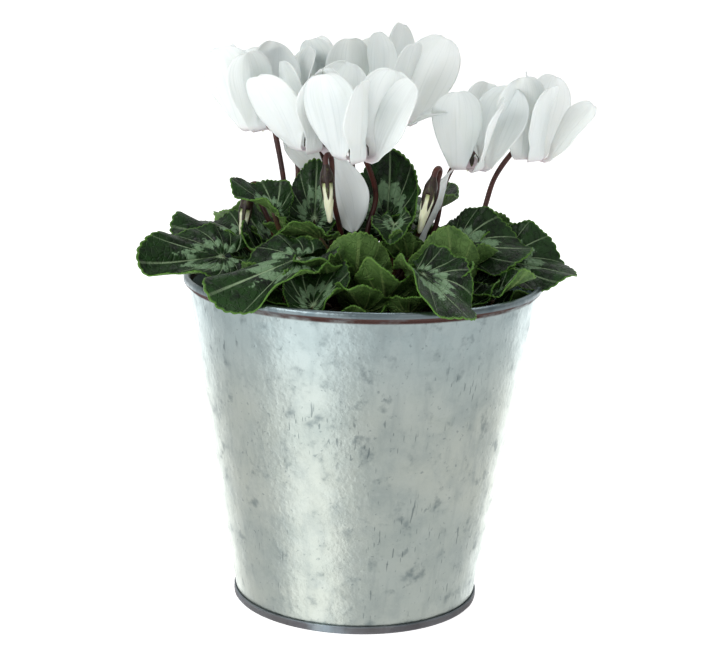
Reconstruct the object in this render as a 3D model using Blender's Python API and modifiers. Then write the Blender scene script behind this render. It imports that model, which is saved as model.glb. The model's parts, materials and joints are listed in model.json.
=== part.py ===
"""Potted cyclamen: a white-flowered plant growing from its tuber in a tapered zinc pot.

Units are metres and +Z is up. The origin is the centre of the pot's underside, and -Y is the
front. The tables below hold millimetres and degrees. Azimuth 0 is +X, 90 is +Y (the back).
"""

import math

import bmesh
import bpy
import numpy as np

MM = 0.001

# Pot: a sheet cone with a rolled rim, standing in a base pan that is crimped round its foot.
POT_HEIGHT = 139.5
SHEET = 0.7
WALL_TOP_RADIUS = 72.75
WALL_FOOT_RADIUS = 50.6
RIM_ROLL_WIDTH = 1.0
RIM_ROLL_HEIGHT = 1.4
RIM_ROLL_TURN = 250.0
BASE_RADIUS = 52.3
BASE_SHEET = 0.8
CRIMP_HEIGHT = 3.4
POT_STEPS = 40
GAP = 0.3

# Compost, and the tuber that sits half sunk in it.
COMPOST_TOP = POT_HEIGHT - 20.0
TUBER_RADIUS = 20.0
TUBER_HALF_HEIGHT = 8.0
TUBER_CENTRE = COMPOST_TOP - 2.5

# Plant
LEAF_THICKNESS = 0.9
STALK_RADIUS = 1.1
STEM_RADIUS = 1.45
PETAL_THICKNESS = 0.8
TUBE_RADIUS = 3.4
TUBE_HEIGHT = 4.6
LOBES = 5
LOBE_CUP = 0.35
STEM_CLEARANCE = 62.0
FLOWER_CALYX = (2.7, 3.4, 2.8)
BUD_CALYX = (3.1, 8.5, 2.3)
BUD_PETAL_RADIUS = 2.7
CROWN_RINGS = ((4.6, 7), (9.6, 13), (14.8, 20))

# Leaf blades: where the stalk meets the blade, the azimuth and elevation of the tip, the roll
# about the midrib, the length, the breadth, the fold at the midrib, the cup of each half, the
# bend of the midrib and the edge wave. A positive roll lowers the blade's right-hand half.
LEAVES = {
    "leaf_01": ((-58, -20, 149), 206, -4, -38, 33, 0.95, 10, 8, -12, 0.05),
    "leaf_02": ((-52, 8, 151), 184, 12, -15, 28, 1.0, 8, 10, -10, 0.06),
    "leaf_03": ((-41, -37, 134), 228, 58, 0, 18, 1.1, 12, 16, 10, 0.06),
    "leaf_04": ((-26, -46, 154), 208, -14, -18, 37, 0.8, -6, 6, -14, 0.05),
    "leaf_05": ((-37, -18, 168), 180, 34, -30, 21, 0.9, 14, 10, -30, 0.06),
    "leaf_06": ((-21, -3, 163), 88, 68, 0, 23, 0.9, 12, 14, 0, 0.06),
    "leaf_07": ((-39, 6, 150), 165, 42, -20, 19, 1.0, 10, 14, 0, 0.05),
    "leaf_08": ((-18, -25, 159), 186, 16, 26, 17, 1.0, 8, 8, -20, 0.05),
    "leaf_09": ((-3, -37, 142), 275, 58, 0, 23, 1.1, 6, 14, 30, 0.06),
    "leaf_10": ((-19, -58, 138), 55, 42, 0, 21, 1.0, 16, 16, -16, 0.07),
    "leaf_11": ((9, -44, 138), 262, 48, 0, 22, 1.0, 6, 16, -20, 0.05),
    "leaf_12": ((-2, -53, 127), 270, 40, 0, 17, 1.2, 6, 20, -20, 0.05),
    "leaf_13": ((9, -2, 163), 78, 72, 0, 28, 1.0, 10, 28, 10, 0.04),
    "leaf_14": ((12, -17, 164), 262, -12, 0, 15, 1.1, 14, 20, -10, 0.06),
    "leaf_15": ((17, -21, 151), 196, 6, 22, 20, 0.9, 18, 12, 0, 0.05),
    "leaf_16": ((23, -50, 150), 304, -15, -8, 31, 0.85, 12, 6, -22, 0.05),
    "leaf_17": ((33, -31, 141), 288, 66, 0, 24, 1.1, 8, 16, 20, 0.06),
    "leaf_18": ((39, -7, 154), 352, 2, 36, 28, 1.0, 6, 12, -14, 0.04),
    "leaf_19": ((35, 13, 147), 50, 68, 0, 13, 1.0, 8, 16, 0, 0.05),
    "leaf_20": ((51, 13, 147), 40, 50, 0, 13, 1.0, 8, 14, 0, 0.05),
    "leaf_21": ((58, -1, 147), 346, -4, 28, 29, 1.0, 12, 6, -14, 0.05),
    "leaf_22": ((61, 21, 143), 50, 42, 0, 14, 1.0, 8, 14, 0, 0.05),
    "leaf_23": ((52, -31, 137), 320, 34, 10, 21, 1.0, 8, 14, 0, 0.05),
    "leaf_24": ((-36, 34, 150), 142, 4, 25, 34, 1.0, 12, 8, -16, 0.05),
    "leaf_25": ((-8, 48, 151), 105, -6, 0, 33, 1.0, 12, 6, -18, 0.05),
    "leaf_26": ((26, 42, 150), 60, 0, -10, 32, 1.0, 12, 8, -16, 0.05),
    "leaf_27": ((46, 30, 148), 28, 2, -25, 29, 1.0, 12, 8, -16, 0.05),
    "leaf_28": ((-11, 20, 158), 118, 20, 0, 20, 1.0, 10, 12, -10, 0.05),
    "leaf_29": ((22, 26, 160), 50, 22, 0, 24, 1.0, 10, 12, -10, 0.05),
}

# Flowers: the centre of the mouth, the lean of the tube's axis (azimuth and angle), the azimuth
# of the first lobe, the side where the stem hooks over, the stem's way up from the tuber, and
# for each lobe the angle above level, the length, the width, the twist and the curl outwards.
UP = (80, 36, 20, 30, 12)
SLIM = (84, 35, 17, 34, 8)
FLOWERS = {
    "flower_1": (
        (-43.4, 5, 199), (180, 4), 210, 318, ((-33, -2.4, 156), (-34, -2, 178)),
        (UP, (84, 35, 19, 30, 8), (-42, 31, 19, 8, 4), SLIM, SLIM),
    ),
    "flower_2": (
        (-21.5, -11, 193.1), (270, 4), 200, 92, ((-12, 7, 156), (-15, 9, 178)),
        ((66, 37, 23, 26, 12), (84, 36, 20, 30, 10), (-46, 36, 19, 4, 38), SLIM, SLIM),
    ),
    "flower_3": (
        (-3.6, -28.5, 192.2), (270, 6), 200, 92, ((1, -10, 158), (4, -10, 176)),
        (SLIM, (80, 37, 22, 30, 12), (76, 37, 20, 30, 10), SLIM, SLIM),
    ),
    "flower_4": (
        (10.4, 14, 202.5), (0, 10), 322, 214, ((6, 12, 165), (5, 11, 186)),
        ((36, 26, 22, 20, 14), (78, 40, 21, 30, 6), (84, 40, 20, 30, 8), SLIM, SLIM),
    ),
    "flower_5": (
        (-9, 38, 200), (90, 3), 200, 92, ((-4, 39, 166), (-7, 45, 184)),
        ((78, 37, 20, 30, 10), (84, 37, 20, 30, 8), (82, 38, 20, 30, 10), SLIM, SLIM),
    ),
    "flower_6": (
        (-35, 30, 195.7), (120, 4), 250, 70, ((-27, 31, 162), (-30, 36, 180)),
        (SLIM, SLIM, SLIM, SLIM, SLIM),
    ),
    "flower_7": (
        (41.8, 0, 185.6), (0, 3), 232, 128, ((28, 3, 156), (32, 4, 176)),
        ((84, 34, 19, 28, 4), (76, 34, 20, 30, 12), (80, 37, 20, 30, 10), SLIM,
         (-64, 36, 13, 4, 26)),
    ),
    "flower_8": (
        (69, 16, 188.2), (0, 5), 208, 172, ((44, 6, 154), (54, 13, 180)),
        (SLIM, (82, 35, 21, 30, 10), (58, 37, 18, 34, 6), SLIM, SLIM),
    ),
}

# Buds: the calyx top, the furled tip, the side where the stem hooks over, its way up.
BUDS = {
    "bud_1": ((-48, -4, 175), (-51, -5, 154), 30, ((-33, 0, 147), (-40, -2, 162))),
    "bud_2": ((-16.5, -24, 190), (-14, -25, 165), 60, ((-9, -13, 156), (-13, -19, 174))),
    "bud_3": ((27.5, -19, 185.5), (22, -20, 161), 60, ((21, -7, 156), (28, -13, 174))),
}

POT_COLOUR = (0.52, 0.57, 0.56, 1)
BASE_COLOUR = (0.24, 0.28, 0.30, 1)
COMPOST_COLOUR = (0.045, 0.030, 0.022, 1)
TUBER_COLOUR = (0.12, 0.075, 0.05, 1)
LEAF_COLOUR = (0.035, 0.11, 0.030, 1)
STEM_COLOUR = (0.10, 0.032, 0.026, 1)
PETAL_COLOUR = (0.86, 0.89, 0.87, 1)
BUD_COLOUR = (0.75, 0.76, 0.52, 1)


def clear_scene():
    for obj in list(bpy.data.objects):
        bpy.data.objects.remove(obj, do_unlink=True)
    scene = bpy.context.scene
    scene.unit_settings.system = "METRIC"
    scene.unit_settings.scale_length = 1.0
    parts = bpy.data.collections.new("potted_cyclamen")
    helpers = bpy.data.collections.new("helpers")
    scene.collection.children.link(parts)
    scene.collection.children.link(helpers)
    return parts, helpers


def material(name, colour, roughness, metallic=0.0):
    made = bpy.data.materials.new(name)
    made.use_nodes = True
    shader = made.node_tree.nodes["Principled BSDF"]
    shader.inputs["Base Color"].default_value = colour
    shader.inputs["Roughness"].default_value = roughness
    shader.inputs["Metallic"].default_value = metallic
    made.diffuse_color = colour
    return made


def add_object(name, data, collection, look=None):
    obj = bpy.data.objects.new(name, data)
    collection.objects.link(obj)
    if look is not None:
        data.materials.append(look)
    return obj


def mesh_from(name, points, faces):
    """A mesh from points in millimetres."""
    mesh = bpy.data.meshes.new(name)
    mesh.from_pydata([tuple(p) for p in np.asarray(points) * MM], [], faces)
    mesh.update()
    return mesh


def turned(name, profile, steps, look, collection):
    """A solid or a sheet turned from (radius, height) points about the pot's axis."""
    points = [(r, 0.0, z) for r, z in profile]
    edges = [(i, i + 1) for i in range(len(profile) - 1)]
    mesh = bpy.data.meshes.new(name)
    mesh.from_pydata([tuple(np.array(p) * MM) for p in points], edges, [])
    obj = add_object(name, mesh, collection, look)
    screw = obj.modifiers.new("turn", "SCREW")
    screw.steps = steps
    screw.render_steps = steps
    screw.use_merge_vertices = True
    screw.merge_threshold = 1e-5
    return obj


def thicken(obj, thickness):
    shell = obj.modifiers.new("thickness", "SOLIDIFY")
    shell.thickness = thickness * MM
    shell.offset = 0.0
    shell.use_rim = True
    return obj


def tube_curve(name, points, radii, collection, look=None, sides=1):
    """A round rod along points in millimetres, with a radius at each of them."""
    curve = bpy.data.curves.new(name, "CURVE")
    curve.dimensions = "3D"
    curve.bevel_depth = MM
    curve.bevel_resolution = sides
    curve.use_fill_caps = True
    spline = curve.splines.new("POLY")
    spline.points.add(len(points) - 1)
    for spot, point, radius in zip(spline.points, points, radii):
        spot.co = (*(np.array(point) * MM), 1.0)
        spot.radius = radius
    return add_object(name, curve, collection, look)


def direction(azimuth, elevation):
    a, e = math.radians(azimuth), math.radians(elevation)
    return np.array([math.cos(e) * math.cos(a), math.cos(e) * math.sin(a), math.sin(e)])


def through(points, samples):
    """A smooth run of samples through the points, evenly spread between each pair."""
    p = [np.array(q, float) for q in points]
    p = [2 * p[0] - p[1], *p, 2 * p[-1] - p[-2]]
    found = []
    for a, b, c, d in zip(p, p[1:], p[2:], p[3:]):
        for i in range(samples):
            t = i / samples
            found.append(0.5 * (2 * b + (c - a) * t + (2 * a - 5 * b + 4 * c - d) * t * t
                                + (3 * b - a - 3 * c + d) * t ** 3))
    return [*found, p[-2]]


def crown_feet(places):
    """A foot on the tuber's crown for each place: near places take the inner ring of growth,
    far ones the outer ring, and each ring keeps the order of the places round the axis."""
    names = sorted(places, key=lambda n: math.hypot(places[n][0], places[n][1]))
    feet = {}
    for radius, slots in CROWN_RINGS:
        ring, names = names[:slots], names[slots:]
        ring.sort(key=lambda n: math.atan2(places[n][1], places[n][0]))
        angles = [math.atan2(places[n][1], places[n][0]) for n in ring]
        step = 2 * math.pi / max(len(ring), 1)
        turn = sum(a - i * step for i, a in enumerate(angles)) / max(len(ring), 1)
        drop = math.sqrt(1 - (radius / TUBER_RADIUS) ** 2)
        height = TUBER_CENTRE + TUBER_HALF_HEIGHT * drop + GAP + 0.5
        for i, name in enumerate(ring):
            a = turn + i * step
            feet[name] = np.array([radius * math.cos(a), radius * math.sin(a), height])
    return feet


def leaf_frame(tip_azimuth, tip_elevation, roll):
    """Across, along and upward directions of a blade."""
    along = direction(tip_azimuth, tip_elevation)
    side = np.cross(along, (0, 0, 1))
    side /= np.linalg.norm(side)
    up = np.cross(side, along)
    r = math.radians(roll)
    across = side * math.cos(r) - up * math.sin(r)
    return across, along, np.cross(across, along)


def bent(distance, start, rate):
    """Run and rise of an arc that starts at an angle and turns by a rate, both in radians."""
    rate = np.where(np.abs(rate) < 1e-6, 1e-6, rate)
    end = start + rate * distance
    return (np.sin(end) - np.sin(start)) / rate, (np.cos(start) - np.cos(end)) / rate


def blade_points(turn, reach, length, breadth, fold, cup, bend, wave):
    """Places on a blade, across, along and up, at an angle from the tip and a share of the edge.

    The outline is a heart-shaped disc; each half folds up from the midrib and then cups, the
    midrib bends by an even arc, and the edge ripples.
    """
    edge = length * (0.62 + 0.24 * np.cos(turn) + 0.10 * np.cos(2 * turn)
                     + 0.04 * np.cos(4 * turn))
    out = np.abs(edge * reach * np.sin(turn)) * breadth
    forward = edge * reach * np.cos(turn)
    run, rise = bent(out, math.radians(fold), math.radians(cup) / (0.5 * length))
    rise = rise + wave * length * reach ** 2 * np.sin(5 * turn + 0.8)
    angle = math.radians(bend) / length
    angle = angle if abs(angle) > 1e-6 else 1e-6
    level, lift = bent(forward, 0.0, np.full_like(forward, angle))
    across = run * np.sign(np.sin(turn))
    along = level - rise * np.sin(angle * forward)
    return across, along, lift + rise * np.cos(angle * forward)


def leaf_sheet(name, spec):
    place, azimuth, elevation, roll = spec[:4]
    turns = np.radians(np.linspace(-158, 158, 9))
    reaches = (0.38, 0.72, 1.0)
    turn, reach = np.meshgrid(turns, reaches)
    a, b, c = blade_points(turn.ravel(), reach.ravel(), *spec[4:])
    across, along, up = leaf_frame(azimuth, elevation, roll)
    flat = np.stack([a, b, c], 1) @ np.stack([across, along, up])
    points = np.concatenate([np.zeros((1, 3)), flat]) + np.array(place, float)
    count = len(turns)
    faces = [(0, 1 + i + 1, 1 + i) for i in range(count - 1)]
    for ring in range(len(reaches) - 1):
        low = 1 + ring * count
        faces += [(low + i, low + i + 1, low + count + i + 1, low + count + i)
                  for i in range(count - 1)]
    return mesh_from(name, points, faces), along, up


def stalk_points(place, along, up, foot):
    place = np.array(place, float)
    far = np.linalg.norm(place - foot)
    lean = direction(math.degrees(math.atan2(foot[1], foot[0])), 70)
    p = (foot, foot + lean * far * 0.30, place - (0.55 * up + 0.65 * along) * far * 0.30, place)
    found = []
    for t in np.linspace(0, 1, 6):
        found.append((1 - t) ** 3 * p[0] + 3 * t * (1 - t) ** 2 * p[1]
                     + 3 * t * t * (1 - t) * p[2] + t ** 3 * p[3])
    return found


def mesh_of_curve(obj, collection):
    """A curve made into a mesh, so that a Boolean can use it."""
    graph = bpy.context.evaluated_depsgraph_get()
    mesh = bpy.data.meshes.new_from_object(obj.evaluated_get(graph))
    work = bmesh.new()
    work.from_mesh(mesh)
    bmesh.ops.remove_doubles(work, verts=work.verts, dist=1e-6)
    work.to_mesh(mesh)
    work.free()
    name = obj.name
    matrix = obj.matrix_world.copy()
    bpy.data.objects.remove(obj, do_unlink=True)
    solid = add_object(name + "_solid", mesh, collection)
    solid.matrix_world = matrix
    solid.hide_render = True
    solid.display_type = "WIRE"
    return solid


def flower_frame(spec):
    """The mouth's centre and the frame of the tube: two level directions and its axis."""
    axis = direction(spec[1][0], 90 - spec[1][1])
    back = np.cross(axis, (1, 0, 0))
    back /= np.linalg.norm(back)
    return np.array(spec[0], float), np.stack([np.cross(back, axis), back, axis])


def apart(azimuth, hook):
    """A lobe's azimuth, moved clear of the stem that passes beside it."""
    off = (azimuth - hook + 180) % 360 - 180
    return azimuth + math.copysign(max(0.0, STEM_CLEARANCE - abs(off)), off)


def half_width(share, width):
    """Half of a lobe's width: a narrow claw, widest past the middle, then a rounded tip."""
    claw = 0.26 + 0.74 * np.sin(0.5 * np.pi * np.minimum(share / 0.60, 1.0)) ** 1.9
    tip = np.sqrt(np.maximum(1 - (np.maximum(share - 0.60, 0) / 0.405) ** 2.2, 0))
    return 0.5 * width * claw * tip


def lobe_points(share, side, base, azimuth, spec):
    """Places on a lobe from its share of the length and its side, -1 to 1.

    The midline leaves the mouth a little below level, turns back over the tube within a sixth
    of its length and then curls outwards evenly. The blade turns about the midline and cups.
    """
    lean, length, width, twist, curl = spec
    start = -25.0 if lean > 0 else -15.0
    steps = np.linspace(0, 1, 121)
    ramp = np.clip(steps / 0.17, 0, 1)
    ramp = ramp * ramp * (3 - 2 * ramp)
    slope = np.radians(start + (lean - start) * ramp - curl * np.maximum(steps - 0.17, 0))
    out = TUBE_RADIUS + np.concatenate([[0], np.cumsum(np.cos(slope[:-1]))]) * length / 120
    rise = np.concatenate([[0], np.cumsum(np.sin(slope[:-1]))]) * length / 120
    r, z, s = (np.interp(share, steps, v) for v in (out, rise, slope))
    settle = np.clip(share / 0.12, 0, 1)
    a = np.radians(base + (azimuth - base) * settle)
    radial = np.stack([np.cos(a), np.sin(a), 0 * a], -1)
    round_it = np.stack([-np.sin(a), np.cos(a), 0 * a], -1)
    up = np.array([0.0, 0.0, 1.0])
    inward = -np.sin(s)[..., None] * radial + np.cos(s)[..., None] * up
    turn = np.radians(twist) * np.clip(share / 0.30, 0, 1)
    across = np.cos(turn)[..., None] * round_it + np.sin(turn)[..., None] * inward
    face = np.cos(turn)[..., None] * inward - np.sin(turn)[..., None] * round_it
    w = half_width(share, width) * side
    cup = LOBE_CUP * w * w / width
    body = radial * r[..., None] + up * z[..., None]
    blade = body + across * w[..., None] + face * cup[..., None]
    ring = np.radians(base) + side * np.pi / LOBES
    mouth = np.stack([TUBE_RADIUS * np.cos(ring), TUBE_RADIUS * np.sin(ring), 0 * ring], -1)
    blend = np.clip(share / 0.10, 0, 1)[..., None]
    return mouth * (1 - blend) + blade * blend


def corolla_mesh(name, spec):
    """The fused tube and its lobes, turned back over the tube, as one sheet."""
    _, _, first, hook, _, lobes = spec
    nose, frame = flower_frame(spec)
    around = 3 * LOBES
    angles = [math.radians(first + (i - 1.5) * 24) for i in range(around)]
    points = [(0, 0, TUBE_HEIGHT)]
    points += [(0.8 * TUBE_RADIUS * math.cos(a), 0.8 * TUBE_RADIUS * math.sin(a), TUBE_HEIGHT)
               for a in angles]
    points += [(TUBE_RADIUS * math.cos(a), TUBE_RADIUS * math.sin(a), 0) for a in angles]
    faces = [(0, 1 + i, 1 + (i + 1) % around) for i in range(around)]
    faces += [(1 + i, 1 + around + i, 1 + around + (i + 1) % around, 1 + (i + 1) % around)
              for i in range(around)]
    rows = (0.09, 0.22, 0.42, 0.68, 0.985)
    sides = np.linspace(-1, 1, 4)
    for k, lobe in enumerate(lobes):
        base = first + 72 * k
        share, side = np.meshgrid(rows, sides, indexing="ij")
        grid = lobe_points(share, side, base, apart(base, hook), lobe).reshape(-1, 3)
        low = [1 + around + (3 * k + j) % around for j in range(4)]
        for row in range(len(rows)):
            high = [len(points) + 4 * row + j for j in range(4)]
            faces += [(low[j], high[j], high[j + 1], low[j + 1]) for j in range(3)]
            low = high
        points += [tuple(p) for p in grid]
    placed = nose + np.array(points, float) @ frame
    return mesh_from(name, placed, faces)


def hooked_stem(foot, way, top, hang, hook, calyx):
    """The stem's line and radii: up from the foot, over a hook, and down into the calyx."""
    swell, length, bend = calyx
    side = direction(hook, 0)
    side = side - hang * side.dot(hang)
    side /= np.linalg.norm(side)
    neck = top + hang * length
    arc = [neck + side * bend * (1 + math.cos(t)) + hang * bend * math.sin(t)
           for t in np.linspace(0, math.pi, 5)]
    line = through([foot, *way, arc[0] - hang * 3.0], 3)
    line += [*arc, neck - hang * length * 0.25, neck - hang * length * 0.6, top]
    radii = [STEM_RADIUS] * (len(line) - 3) + [swell * 0.66, swell, swell * 0.9]
    return line, radii


def add_leaf(name, spec, foot, looks, parts, helpers):
    mesh, along, up = leaf_sheet(name, spec)
    leaf = thicken(add_object(name, mesh, parts, looks["leaf"]), LEAF_THICKNESS)
    line = stalk_points(spec[0], along, up, foot)
    rod = tube_curve(name + "_stalk", line, [STALK_RADIUS] * len(line), helpers)
    solid = mesh_of_curve(rod, helpers)
    joint = leaf.modifiers.new("stalk", "BOOLEAN")
    joint.operation = "UNION"
    joint.solver = "EXACT"
    joint.object = solid


def add_flower(name, spec, foot, looks, parts):
    nose, frame = flower_frame(spec)
    petals = add_object(name + "_petals", corolla_mesh(name, spec), parts, looks["petal"])
    thicken(petals, PETAL_THICKNESS)
    top = nose + frame[2] * (TUBE_HEIGHT + 0.5 * PETAL_THICKNESS + GAP)
    line, radii = hooked_stem(foot, spec[4], top, frame[2], spec[3], FLOWER_CALYX)
    tube_curve(name + "_stem", line, radii, parts, looks["stem"])


def add_bud(name, spec, foot, looks, parts):
    top, tip, hook, way = spec
    top, tip = np.array(top, float), np.array(tip, float)
    hang = (top - tip) / np.linalg.norm(top - tip)
    line, radii = hooked_stem(foot, way, top - hang * BUD_CALYX[1], hang, hook, BUD_CALYX)
    tube_curve(name + "_stem", line, radii, parts, looks["stem"])
    upper = top - hang * (BUD_CALYX[1] + GAP)
    long = np.linalg.norm(upper - tip)
    shares = (0, 0.18, 0.45, 0.75, 0.93, 1.0)
    wide = (0.84, 0.88, 0.72, 0.52, 0.40, 0.16)
    line = [upper - hang * long * s for s in shares]
    radii = [BUD_PETAL_RADIUS * w for w in wide]
    tube_curve(name + "_petals", line, radii, parts, looks["bud"])


def add_pot(looks, parts):
    foot = BASE_SHEET + GAP
    top = POT_HEIGHT - 2 * RIM_ROLL_HEIGHT + RIM_ROLL_HEIGHT - 0.5 * SHEET
    profile = []
    for i in range(7):
        t = math.radians(180 - RIM_ROLL_TURN * (1 - i / 6))
        profile.append((WALL_TOP_RADIUS + RIM_ROLL_WIDTH * (1 + math.cos(t)),
                        top + RIM_ROLL_HEIGHT * math.sin(t)))
    profile.append((WALL_FOOT_RADIUS, foot))
    wall = turned("pot_wall", profile, POT_STEPS, looks["pot"], parts)
    thicken(wall, SHEET)
    inner = WALL_FOOT_RADIUS + 0.5 * SHEET + GAP + 0.1
    profile = [(0, BASE_SHEET), (inner, BASE_SHEET), (inner, CRIMP_HEIGHT - 0.3),
               (inner + 0.3, CRIMP_HEIGHT), (BASE_RADIUS - 0.3, CRIMP_HEIGHT),
               (BASE_RADIUS, CRIMP_HEIGHT - 0.5), (BASE_RADIUS, 0.5),
               (BASE_RADIUS - 0.5, 0), (0, 0)]
    turned("pot_base", profile, POT_STEPS, looks["base"], parts)


def wall_inside(height):
    """The wall's inner radius at a height."""
    share = (height - BASE_SHEET - GAP) / (POT_HEIGHT - BASE_SHEET - GAP - RIM_ROLL_HEIGHT)
    wall = WALL_FOOT_RADIUS + (WALL_TOP_RADIUS - WALL_FOOT_RADIUS) * share
    return wall - 0.5 * SHEET


def add_compost(looks, parts):
    bottom = BASE_SHEET + 2 * GAP
    dip = [0.0, 8.0, 14.0, 18.0, TUBER_RADIUS]
    hollow = TUBER_RADIUS + 1.2
    profile = []
    for r in dip:
        deep = (TUBER_HALF_HEIGHT + 1.0) * math.sqrt(1 - (r / hollow) ** 2)
        profile.append((r, TUBER_CENTRE - deep))
    profile += [(hollow + 1.0, COMPOST_TOP), (45.0, COMPOST_TOP + 1.0),
                (wall_inside(COMPOST_TOP - 1.5) - 1.2, COMPOST_TOP - 0.5),
                (wall_inside(COMPOST_TOP - 2.5) - 0.6, COMPOST_TOP - 2.5),
                (wall_inside(bottom) - 0.6, bottom), (0, bottom)]
    turned("compost", profile, 28, looks["compost"], parts)
    profile = [(TUBER_RADIUS * math.sin(t), TUBER_CENTRE + TUBER_HALF_HEIGHT * math.cos(t))
               for t in np.linspace(0, math.pi, 11)]
    profile[0] = (0, profile[0][1])
    profile[-1] = (0, profile[-1][1])
    turned("tuber", profile, 24, looks["tuber"], parts)


def main():
    parts, helpers = clear_scene()
    looks = {
        "pot": material("galvanised_zinc_sheet", POT_COLOUR, 0.45, 1.0),
        "base": material("zinc_base_sheet", BASE_COLOUR, 0.55, 1.0),
        "compost": material("damp_compost", COMPOST_COLOUR, 0.95),
        "tuber": material("corky_tuber", TUBER_COLOUR, 0.9),
        "leaf": material("cyclamen_leaf", LEAF_COLOUR, 0.45),
        "stem": material("cyclamen_stem", STEM_COLOUR, 0.5),
        "petal": material("white_petal", PETAL_COLOUR, 0.5),
        "bud": material("furled_bud_petal", BUD_COLOUR, 0.5),
    }
    add_pot(looks, parts)
    add_compost(looks, parts)
    places = {name: spec[0] for name, spec in LEAVES.items()}
    places.update({name: spec[4][0] for name, spec in FLOWERS.items()})
    places.update({name: spec[3][0] for name, spec in BUDS.items()})
    feet = crown_feet(places)
    for name, spec in LEAVES.items():
        add_leaf(name, spec, feet[name], looks, parts, helpers)
    for name, spec in FLOWERS.items():
        add_flower(name, spec, feet[name], looks, parts)
    for name, spec in BUDS.items():
        add_bud(name, spec, feet[name], looks, parts)
    bpy.context.view_layer.update()


main()
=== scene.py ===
# Potted cyclamen: white flowers and silver-marked leaves in a weathered galvanised pot.
# Lengths in the dictionaries are millimetres and angles are degrees; meshes are metres.
import json

import bmesh
import bpy
import numpy as np
from mathutils import Matrix, Vector

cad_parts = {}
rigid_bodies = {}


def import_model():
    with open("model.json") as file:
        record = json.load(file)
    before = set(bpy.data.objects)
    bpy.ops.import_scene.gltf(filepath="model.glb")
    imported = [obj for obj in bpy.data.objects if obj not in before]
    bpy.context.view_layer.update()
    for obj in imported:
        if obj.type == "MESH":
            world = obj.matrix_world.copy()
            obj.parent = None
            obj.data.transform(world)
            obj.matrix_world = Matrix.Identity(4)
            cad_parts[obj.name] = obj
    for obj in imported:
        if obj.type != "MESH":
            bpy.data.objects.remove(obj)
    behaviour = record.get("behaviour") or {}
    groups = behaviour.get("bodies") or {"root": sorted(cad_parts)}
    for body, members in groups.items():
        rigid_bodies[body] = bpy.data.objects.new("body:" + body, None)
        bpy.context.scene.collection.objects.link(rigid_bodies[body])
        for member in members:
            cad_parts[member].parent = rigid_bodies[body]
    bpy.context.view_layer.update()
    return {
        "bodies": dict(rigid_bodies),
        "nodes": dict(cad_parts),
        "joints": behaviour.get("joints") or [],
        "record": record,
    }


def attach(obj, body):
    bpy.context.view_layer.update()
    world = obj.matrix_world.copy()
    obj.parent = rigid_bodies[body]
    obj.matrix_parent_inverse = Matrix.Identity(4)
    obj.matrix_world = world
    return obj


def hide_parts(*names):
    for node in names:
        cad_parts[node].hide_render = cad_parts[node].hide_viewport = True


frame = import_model()
mm = 0.001


# Colours are given as sRGB hex and worked in linear light.
def linearColour(text):
    channels = np.array([int(text[i : i + 2], 16) for i in (1, 3, 5)]) / 255
    low = channels / 12.92
    high = ((channels + 0.055) / 1.055) ** 2.4
    return (*np.where(channels <= 0.04045, low, high), 1.0)


# Adds a node, sets what is given and links what is a socket.
def addNode(tree, kind, settings, inputs):
    node = tree.nodes.new(kind)
    for name, value in settings.items():
        setattr(node, name, value)
    for name, value in inputs.items():
        if isinstance(value, bpy.types.NodeSocket):
            tree.links.new(value, node.inputs[name])
        else:
            node.inputs[name].default_value = value
    return node


def newMaterial(name):
    material = bpy.data.materials.new(name)
    material.use_nodes = True
    tree = material.node_tree
    tree.nodes.clear()
    return material, tree, addNode(tree, "ShaderNodeOutputMaterial", {}, {})


# The mixing steps that the materials share: a soft threshold, a sum and a tint.
def shaderSteps(tree):
    def share(value, low, high, most=1.0):
        return addNode(tree, "ShaderNodeMapRange", {"interpolation_type": "SMOOTHSTEP"},
                       {"Value": value, "From Min": low, "From Max": high,
                        "To Max": most}).outputs["Result"]

    def sums(kind, a, b, c=0.0):
        return addNode(tree, "ShaderNodeMath", {"operation": kind},
                       {0: a, 1: b, 2: c}).outputs["Value"]

    def tint(amount, under, over):
        return addNode(tree, "ShaderNodeMix", {"data_type": "RGBA"},
                       {0: amount, 6: under, 7: over}).outputs[2]

    return share, sums, tint


def placeOnObject(tree):
    return addNode(tree, "ShaderNodeTexCoord", {}, {}).outputs["Object"]


# Values that a piece stores at each of its points.
def stored(tree, name):
    return addNode(tree, "ShaderNodeAttribute", {"attribute_name": name}, {}).outputs["Vector"]


def split(tree, vector):
    parts = addNode(tree, "ShaderNodeSeparateXYZ", {}, {"Vector": vector})
    return [parts.outputs[axis] for axis in "XYZ"]


def joined(tree, x, y, z):
    return addNode(tree, "ShaderNodeCombineXYZ", {},
                   {"X": x, "Y": y, "Z": z}).outputs["Vector"]


def stretched(tree, vector, scale, turn=(0.0, 0.0, 0.0)):
    return addNode(tree, "ShaderNodeMapping", {},
                   {"Vector": vector, "Rotation": turn, "Scale": scale}).outputs["Vector"]


# Noise with features about this long, in the units of the vector it reads.
def noise(tree, vector, size, detail, roughness=0.5):
    return addNode(tree, "ShaderNodeTexNoise", {},
                   {"Vector": vector, "Scale": 1 / size, "Detail": detail,
                    "Roughness": roughness}).outputs["Fac"]


# Roughness that follows the middle of a noise's range.
def unevenGloss(tree, pattern, least, most):
    return addNode(tree, "ShaderNodeMapRange", {},
                   {"Value": pattern, "From Min": 0.3, "From Max": 0.7, "To Min": least,
                    "To Max": most}).outputs["Result"]


def relief(tree, height, strength, distance, under=None):
    inputs = {"Height": height, "Strength": strength, "Distance": distance}
    if under is not None:
        inputs["Normal"] = under
    return addNode(tree, "ShaderNodeBump", {}, inputs).outputs["Normal"]


def surface(tree, out, inputs):
    shader = addNode(tree, "ShaderNodeBsdfPrincipled", {}, inputs)
    tree.links.new(shader.outputs["BSDF"], out.inputs["Surface"])


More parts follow.
